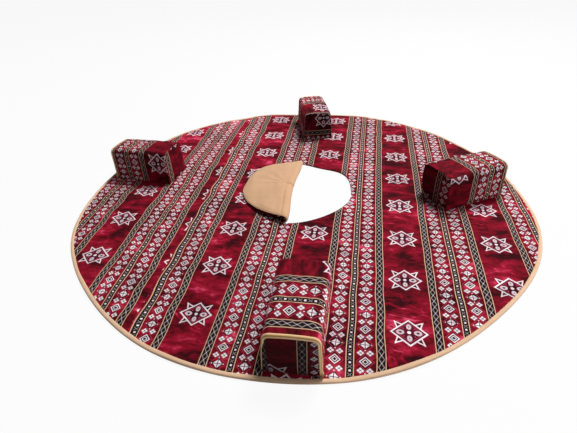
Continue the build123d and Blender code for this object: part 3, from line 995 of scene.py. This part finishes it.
def notch_folds(s, y):
    """Soft folds that spread over the flap from the pinched notch: a ridge along each of a few bearings,
    wider the farther it is from the notch, dying out towards the hem."""
    reach = np.hypot(s - BEND_END, y - DENT_AT)
    bearing = np.degrees(np.arctan2(y - DENT_AT, np.maximum(s - BEND_END, 1e-4)))
    height = sum(size * bell(bearing - middle, width) for middle, width, size in NOTCH_FOLDS)
    return height * ease(0.0, 0.09, reach) * (1 - ease(0.20, 0.36, reach))


def cover_rise(s, y, from_front):
    """Share of the side view's height that the fold keeps: less towards the rear, along the front edge of the
    flap, and a little in the middle of the dent."""
    beyond = s - BEND_END
    lower = (1 - REAR_RISE) * np.clip((y + CREASE_END) / (2 * CREASE_END), 0, 1)
    rise = 1 - lower * (1 - 0.75 * ease(0.0, 0.20, beyond))
    rise = rise * (1 - 0.30 * ease(0.10, 0.28, beyond) * (1 - ease(0.0, 0.16, from_front)))
    pucker = bell(y - DENT_AT, 0.05) * ease(BEND_START, BEND_END, s) * (1 - ease(0.02, 0.09, beyond))
    return rise * (1 - 0.12 * pucker)


def cover_depths(s, closed_x, y, from_front, edge):
    """Depth of each face inside the side view's curve: the tan face at the cover's thickness, puffed with
    soft folds, less along a stitched line, towards the rear, at the notch and at the hem, and the velvet face
    near 0, hanging down at the front."""
    beyond = s - BEND_END
    lifted = ease(LIE_START, BEND_START, s)
    wave = 0.0022 * ripples(closed_x, y, 0.24, seed=31, across=0.7)
    wave = wave + 0.0004 * ripples(closed_x, y, 0.08, seed=12, across=0.6)
    wave = wave + notch_folds(s, y)
    soft = ease(0.0, 0.05, edge) * ease(BEND_START, BEND_END, s)
    line = 0.0022 * bell(s - 0.066, 0.006) * (1 - ease(-0.06, 0.02, y)) * ease(0.0, 0.04, edge)
    hem = 0.0045 * (1 - ease(0.0, 0.012, edge)) * lifted
    notch = NOTCH_DEPTH * bell(y - DENT_AT, NOTCH_WIDTH) * ease(0.0, BEND_MIDDLE, s)
    notch = notch * (1 - ease(0.0, 0.030, beyond))
    thin = 0.004 * ease(0.10, 0.38, y) * ease(BEND_START, BEND_END, s)
    sag = FRONT_SAG * (1 - ease(0.0, 0.09, from_front))
    sag = sag * ease(0.0, 0.035, beyond) * (1 - ease(0.16, 0.28, beyond))
    return {
        "velvet": np.maximum(0.25 * wave, 0) * soft + 0.4 * hem - sag,
        "backing": COVER_THICKNESS + (0.004 + wave) * soft - line - hem - thin - notch,
    }


def cover_points(s, closed_x, y, y_low, y_high, tip):
    """Both faces of the folded cover: the side view's curve, pulled in along the dent and lowered, and then
    each face moved out along the curve's normal by its depth, and held just off what lies below."""
    x_line, z_line, heading = cover_curve(s)
    from_front = y - y_low
    edge = np.minimum(np.minimum(from_front, y_high - y), tip - s)
    x = x_line + pull_in(y) * ease(LIE_START, BEND_START, s) * (1 - ease(0.05, 0.28, s - BEND_END))
    z = MAT_TOP + 0.0006 + (z_line - MAT_TOP) * cover_rise(s, y, from_front)
    lowest = np.where(s > BEND_END, MAT_TOP + 0.0008, 0.0006)
    faces = {}
    for face, depth in cover_depths(s, closed_x, y, from_front, edge).items():
        raised = np.maximum(z - depth * np.cos(heading), lowest)
        faces[face] = np.stack([x + depth * np.sin(heading), y, raised], axis=-1)
    return faces


def cover_zone(zone, s):
    """One stretch of the folded cover: a velvet face, a tan face and the two bulging hems between them."""
    (low_x, low_y), (high_x, high_y) = opening_sides()
    is_flap = zone == "flap"
    s = s[:, None]
    tip = float(s[-1, 0]) if is_flap else FAR
    y_low = np.interp(closed_places(s), low_x, low_y, left=low_y[0])
    y_high = np.interp(closed_places(s), high_x, high_y, left=high_y[0])
    across = 0.5 - 0.5 * np.cos(np.linspace(0, np.pi, 241))[None, :]
    y = y_low + across * (y_high - y_low)
    closed_x = closed_places(s) + 0 * y
    faces = cover_points(s + 0 * y, closed_x, y, y_low, y_high, tip)
    cloth = weave_at(closed_x, y, MAIN_BANDS)
    made = {}
    for face, finish in (("velvet", VELVET), ("backing", TAN_CLOTH)):
        name = f"{zone}_{face}_face"
        piece = sheet_mesh(name, faces[face], cloth, flip=face == "backing", merge=is_flap)
        made[face] = dress(piece, finish)
    bulge = np.sin(np.linspace(0, np.pi, 5))[None, :, None]
    share = np.linspace(0, 1, 5)[None, :, None]
    for label, column, side in (("front", 0, -1), ("rear", -1, 1)):
        near, far = (faces[face][:, column][:, None] for face in ("velvet", "backing"))
        points = near + share * (far - near) + np.array([0, side * 0.0016, 0]) * bulge
        hem_cloth = np.repeat(cloth[:, column][:, None], 5, axis=1) + share * np.array([0, side * 0.012])
        piece = sheet_mesh(f"{zone}_{label}_hem", points, hem_cloth, flip=side > 0)
        made[label] = dress(piece, VELVET if is_flap else TAN_CLOTH)
    return made


def change_over(pieces, heights):
    """Bakes the transforms of the pieces of a bend. Each face's two heights above the mat are looked up, the
    hems taking the velvet's, but nothing blends the pieces from one body to the next."""
    for part, piece in pieces.items():
        low, high = heights["backing" if part == "backing" else "velvet"]
        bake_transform(piece)


def cover():
    """The centre cover in three stretches: the bend by the mat, the bend by the flap, and the flap."""
    # the flap ends where, closed, it meets the opening's tip, and past the bend lengths are kept
    on_flap = 0.3
    reach = on_flap + opening_sides()[0][0].max() - float(closed_places(np.array(on_flap)))
    spread = np.sin(np.linspace(0, 0.5 * np.pi, 90))
    made = {
        "fold_low": cover_zone("fold_low", np.linspace(LIE_START, BEND_MIDDLE, 30)),
        "fold_high": cover_zone("fold_high", np.linspace(BEND_MIDDLE, FLAP_START, 30)),
        "flap": cover_zone("flap", FLAP_START + (reach - FLAP_START) * spread),
    }
    change_over(made["fold_low"], LOW_BLEND)
    change_over(made["fold_high"], HIGH_BLEND)
    for piece in made["flap"].values():
        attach(piece, "cover_flap")
    for (zone, part), solids in COVER_SOLIDS.items():
        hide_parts(*solids)


# Armrests
class Block:
    """One stuffed block: its place on the mat, its section, read from its end panel, and how it has settled.
    A place on it is a along it towards the inner end, b across it and c up from the mat."""

    def __init__(self, name, seed):
        self.name, self.seed = name, seed
        self.middle, self.along, self.across = ARMRESTS[name]
        self.outline, self.arc = self.section(SECTION_STEPS)
        outward = -normals_right(self.outline[:-1])
        self.normal = np.concatenate([outward, outward[:1]])

    def section(self, count):
        """The section as points evenly spaced round it from the middle of the base, and their lengths from
        the top's middle line."""
        panel = frame["nodes"][f"{self.name}_outer_end_panel"].data.vertices
        corners = np.array([vertex.co for vertex in panel])
        flat = np.stack([(corners - self.middle) @ self.across, corners[:, 2] - MAT_TOP], axis=1)
        flat = np.unique(np.round(flat, 5), axis=0)
        flat = flat[np.argsort(np.arctan2(flat[:, 0], flat[:, 1] - ARMREST_MIDDLE))]
        foot = np.zeros((1, 2))
        kept = flat[(flat[:, 1] > 1e-5) | (np.abs(flat[:, 0]) > 0.05)]
        closed = np.concatenate([foot, kept, foot])
        length = lengths_along(closed)
        even = np.linspace(0, length[-1], count + 1)
        return points_at(even, length, closed), even - length[-1] / 2

    def world(self, a, b, c):
        """Points of the block in the frame, after it has settled: heights grow by the top's rise, and one
        side leans out with the height."""
        inward = ease(-ARMREST_HALF, ARMREST_HALF, a)
        rise, spread = (
            SETTLING[self.name][kind][0] * inward + SETTLING[self.name][kind][1] * (1 - inward)
            for kind in ("rise", "spread")
        )
        c = c * (1 + rise / self.outline[:, 1].max())
        b = b * (1 + (b < 0) * spread / ARMREST_SIDE * ease(0.0, 0.15, c))
        up = np.array([0.0, 0.0, 1.0])
        return self.middle + a[..., None] * self.along + b[..., None] * self.across + c[..., None] * up

    def dress(self, piece, finish, *parts):
        """Gives a piece its finish and lets it ride on this armrest in place of the named parts."""
        return dress(piece, finish, f"{self.name}_armrest", [f"{self.name}_{part}" for part in parts])

    def zip_line(self):
        """The part of the section that the zip runs round, from its foot on one side to the other."""
        kept = self.outline[:, 1] >= ZIP_FOOT
        return self.outline[kept], self.normal[kept], self.arc[kept]


def block_cover(block):
    """The velvet over the top and sides and the tan base cloth: the section carried along the armrest, puffed
    and gently creased between its end seams and drawn in at them. Gives back the places across and up."""
    name, seed, outline, normal = block.name, block.seed, block.outline, block.normal
    t = np.sin(np.linspace(-0.5 * np.pi, 0.5 * np.pi, 73))
    a = (ARMREST_HALF - 0.0005) * t[:, None] + 0 * block.arc
    w = block.arc + 0 * a
    height = outline[:, 1] + 0 * a
    from_end = ARMREST_HALF - np.abs(a)
    crown = ease(0.0, 0.07, from_end) * ease(0.012, 0.06, height)
    puff = PUFF * crown * (0.6 + 0.4 * np.cos(np.pi * a / ARMREST_HALF / 1.2))
    crease = CREASE * ripples(a, w, 0.09, seed=seed)
    crease = crease + FINE_CREASE * ripples(a, w, 0.035, seed=seed + 1, across=0.6)
    drawn = SEAM_PULL * (1 - ease(0.0, SEAM_WIDTH, from_end)) * (height > 0.004)
    offset = puff + crease * crown - drawn
    b = outline[:, 0] + normal[:, 0] * offset
    c = np.maximum(outline[:, 1] + normal[:, 1] * offset, 0.0003)

    shift = COVER_SHIFTS[name]
    row = w + shift["round"]
    if shift["seam"]:
        seam, beyond = shift["seam"]
        row = np.where(w < seam, row + beyond, row)
    cloth = np.stack([a + shift["along"], row], axis=-1)
    points = block.world(a, b, c)
    base_columns = np.where(outline[:, 1] < 0.0005)[0]
    half_way = len(block.arc) // 2
    first, last = base_columns[base_columns < half_way].max(), base_columns[base_columns > half_way].min()
    top = slice(first, last + 1)
    body = sheet_mesh(f"{name}_cover", points[:, top], cloth[:, top])
    if shift["sheen"]:
        # painted sheen, held in worn: a bright line along one upper edge, where the light catches the rounded
        # corner
        at, reach, gain = shift["sheen"]
        worn = gain * bell(w - at, reach) * (0.75 + 0.25 * ripples(a, w, 0.06, seed=seed + 3))
        paint_light(body, worn[:, top])
    block.dress(body, VELVET, "body_panel", "foam_block")
    under = np.concatenate([np.arange(last, len(block.arc) - 1), np.arange(0, first + 1)])
    base = sheet_mesh(f"{name}_base_cloth", points[:, under], cloth[:, under])
    block.dress(base, TAN_CLOTH, "base_panel")
    return b, c


def end_cover(block, which, rim_b, rim_c):
    """A domed end: rings at shares of the way from its middle to its rim, out by (1 - share^4) of the dome's
    height, with soft creases."""
    name, sign = block.name, 1.0 if which == "inner" else -1.0
    share = np.linspace(0, 1, 30)[:, None]
    b = share * rim_b
    c = DOME_MIDDLE + share * (rim_c - DOME_MIDDLE)
    dome = DOME * (1 - share**4) + 0.0012 * ripples(b, c, 0.08, seed=block.seed + 5) * (1 - share**2)
    a = sign * (ARMREST_HALF - 0.0008 + dome)
    style, strip, way, star_row = END_SHIFTS[name][which]
    level, rows = (c, b) if style == "level" else (b, c)
    across = ZIGZAG_AT * MM + way * (level - strip)
    if (name, which) == ("front", "outer"):
        # a second zigzag band runs up this end's right edge
        across = np.where(b > 0.097, ZIGZAG_AT * MM + (b - 0.112), across)
    cloth = np.stack([across, rows - star_row], axis=-1)
    points = block.world(a, b, c)[:, :-1]
    piece = sheet_mesh(f"{name}_{which}_end_cover", points, cloth, wrap=True, flip=sign < 0, merge=True)
    # end panels that face away from the light take a velvet with painted shade
    block.dress(piece, END_PAINTED_SHADE.get((name, which), VELVET), f"{which}_end_panel")
    area = cut_area(rim_b[:-1], rim_c[:-1])


def zip_tapes(block):
    """The two tapes of the zip, one on the cover's side of the corner and one on the end's: a low rounded
    profile carried along the section, tucked in below the upper corner of one side."""
    name = block.name
    path, normal, arc = block.zip_line()
    reach, rise = TAPE_PROFILE[:, :1], TAPE_PROFILE[:, 1:]
    tucked = (1 - ease(TUCK_LOW, TUCK_HIGH, path[:, 1])) * (path[:, 0] > 0)
    cloth = np.stack(np.broadcast_arrays(arc[None, :], reach), axis=-1)

    wobble = 0.0003 * ripples(arc, arc * 0, 0.05, seed=block.seed + 7)
    off = rise - SEAM_PULL * (1 - ease(0.0, SEAM_WIDTH, reach)) + wobble
    a = -ARMREST_HALF + reach * (1 - 0.75 * tucked)
    points = block.world(a, path[:, 0] + normal[:, 0] * off, path[:, 1] + normal[:, 1] * off)
    body_tape = sheet_mesh(f"{name}_body_tape", points, cloth)
    block.dress(body_tape, ZIP_TAPE, "body_zip_tape")

    inward = reach * (1 - 0.85 * tucked)
    dome = DOME * (1 - (1 - inward / 0.12) ** 4)
    a = -ARMREST_HALF - rise - 0.0006 - dome
    off = inward + 0.001
    points = block.world(a, path[:, 0] - normal[:, 0] * off, path[:, 1] - normal[:, 1] * off)
    end_tape = sheet_mesh(f"{name}_end_tape", points, cloth, flip=True)
    block.dress(end_tape, ZIP_TAPE, "end_zip_tape")


def zip_teeth(block):
    """The zip's coil: a row of small rounded teeth along the corner, set by turns to either side. Each is
    four rings of six points, aslant from one tape to the other."""
    line, out, _ = block.zip_line()
    length = lengths_along(line)
    count = int(length[-1] / TOOTH_PITCH)
    at = (np.arange(count) + 0.5) * TOOTH_PITCH
    centre = points_at(at, length, line)[:, None, None]
    face = points_at(at, length, out)
    face = (face / np.linalg.norm(face, axis=1)[:, None])[:, None, None]
    side = np.where(np.arange(count) % 2 == 0, 1.0, -1.0)[:, None, None]
    around = np.linspace(0, 2 * np.pi, TOOTH_SIDES + 1)[:-1]
    radius = TOOTH_RINGS[:, 1:] * TOOTH_RADIUS
    turn_out, turn_along = radius * np.cos(around) + 0.0002, radius * np.sin(around)
    diagonal = np.sqrt(0.5)
    reach = diagonal * (TOOTH_RINGS[:, :1] * TOOTH_REACH + TOOTH_STAGGER * side)
    a = -ARMREST_HALF - 0.0002 - diagonal * turn_out + reach
    off = diagonal * turn_out + reach - 0.0022
    b = centre[..., 0] + face[..., 0] * off - face[..., 1] * turn_along
    c = centre[..., 1] + face[..., 1] * off + face[..., 0] * turn_along
    points = block.world(a, b, c).reshape(-1, 3)

    rings = len(TOOTH_RINGS)
    near, corner = np.meshgrid(np.arange(rings - 1) * TOOTH_SIDES, np.arange(TOOTH_SIDES), indexing="ij")
    far, following = near + TOOTH_SIDES, (corner + 1) % TOOTH_SIDES
    walls = np.stack([near + corner, near + following, far + following, far + corner], axis=-1).reshape(-1, 4)
    caps = np.array([np.arange(TOOTH_SIDES)[::-1], np.arange(TOOTH_SIDES) + (rings - 1) * TOOTH_SIDES])
    tooth_start = np.arange(count)[:, None, None] * rings * TOOTH_SIDES
    faces = [(one + tooth_start).reshape(-1, one.shape[1]).tolist() for one in (walls, caps)]
    mesh = bpy.data.meshes.new(f"{block.name}_zip_teeth")
    mesh.from_pydata(points.tolist(), [], faces[0] + faces[1])
    mesh.polygons.foreach_set("use_smooth", np.ones(len(mesh.polygons), dtype=bool))
    mesh.update()
    mend(mesh, outwards=True)
    block.dress(placed(mesh.name, mesh), TEETH, "zip_chain")


def armrest(name, seed):
    """A stuffed block: a cover, two end covers, and a zip of two tapes and a coil round the outer end."""
    block = Block(name, seed)
    b, c = block_cover(block)
    end_cover(block, "inner", b[-1], c[-1])
    end_cover(block, "outer", b[0], c[0])
    zip_tapes(block)
    zip_teeth(block)
    for part in ("zip_slider", "zip_pull"):
        materials = frame["nodes"][f"{name}_{part}"].data.materials
        materials.clear()
        materials.append(METAL)


# The room
def seen_or_lit(tree, lit, seen, share, output):
    """Shows one shader to the camera and to the rays that glossy or clear surfaces send on, and the other to
    the light's own rays."""
    rays = tree.nodes.new("ShaderNodeLightPath")
    kinds = [Sum(tree, rays.outputs[f"Is {kind} Ray"]) for kind in ("Camera", "Glossy", "Transmission")]
    amount = kinds[0].most(*kinds[1:]) * share
    mix = tree.nodes.new("ShaderNodeMixShader")
    for socket, value in zip(mix.inputs, (amount.socket, lit.outputs[0], seen.outputs[0])):
        tree.links.new(value, socket)
    tree.links.new(mix.outputs[0], output.inputs["Surface"])


def floor():
    """A pale floor that keeps the object's shadow and is nearly white to the eye."""
    size = 30.0
    mesh = bpy.data.meshes.new("floor")
    corners = [(-size, -size, 0), (size, -size, 0), (size, size, 0), (-size, size, 0)]
    mesh.from_pydata(corners, [], [(0, 1, 2, 3)])
    item = placed("floor", mesh)
    item.location.z = -0.0002
    material, tree, shader = new_material("pale floor")
    grey = (0.70, 0.70, 0.70, 1)
    set_inputs(tree, shader, {"Base Color": grey, "Roughness": 1.0, "Specular IOR Level": 0.0})
    glow = new_node(tree, "ShaderNodeEmission", Strength=1.0)
    seen_or_lit(tree, shader, glow, 0.93, tree.nodes["Material Output"])
    mesh.materials.append(material)


def lamp(name, at, size, power):
    """A round lamp that looks at the middle of the mat."""
    data = bpy.data.lights.new(name, "AREA")
    data.shape = "DISK"
    data.size = size
    data.energy = power
    item = placed(name, data)
    item.location = at
    item.rotation_euler = (-Vector(at)).to_track_quat("-Z", "Y").to_euler()


def pale_world():
    """A plain pale world: soft light for the object, white for the eye."""
    world = bpy.data.worlds.new("pale world")
    bpy.context.scene.world = world
    world.use_nodes = True
    tree = world.node_tree
    white = (1, 1, 1, 1)
    soft = tree.nodes["Background"]
    set_inputs(tree, soft, {"Color": white, "Strength": 0.07})
    clear = new_node(tree, "ShaderNodeBackground", Color=white, Strength=1.0)
    seen_or_lit(tree, soft, clear, 1.0, tree.nodes["World Output"])


def camera():
    """The photograph's view: a hand-held camera in front, tilted down, turned and rolled a little."""
    place_at, heading, tilt, roll = (0.342, -2.331, 1.435), 10.75, 54.89, -2.27
    data = bpy.data.cameras.new("camera")
    data.sensor_width = 36.0
    data.lens = 24.03
    item = placed("camera", data)
    turn = Matrix.Translation(place_at)
    for angle, axis in ((heading, "Z"), (tilt, "X"), (roll, "Z")):
        turn = turn @ Matrix.Rotation(np.radians(angle), 4, axis)
    item.matrix_world = turn
    bpy.context.scene.camera = item


main_width()
side_width()
underside()
binding()
opening_edge()
cover()
for number, armrest_name in enumerate(ARMRESTS):
    armrest(armrest_name, 40 + 10 * number)
floor()
lamp("high window behind", (2.0, 3.6, 7.8), 3.0, 905.0)
lamp("right window", (5.2, -2.1, 2.6), 2.0, 108.0)
pale_world()
camera()
bpy.context.scene.view_settings.view_transform = "Standard"

bpy.context.view_layer.update()
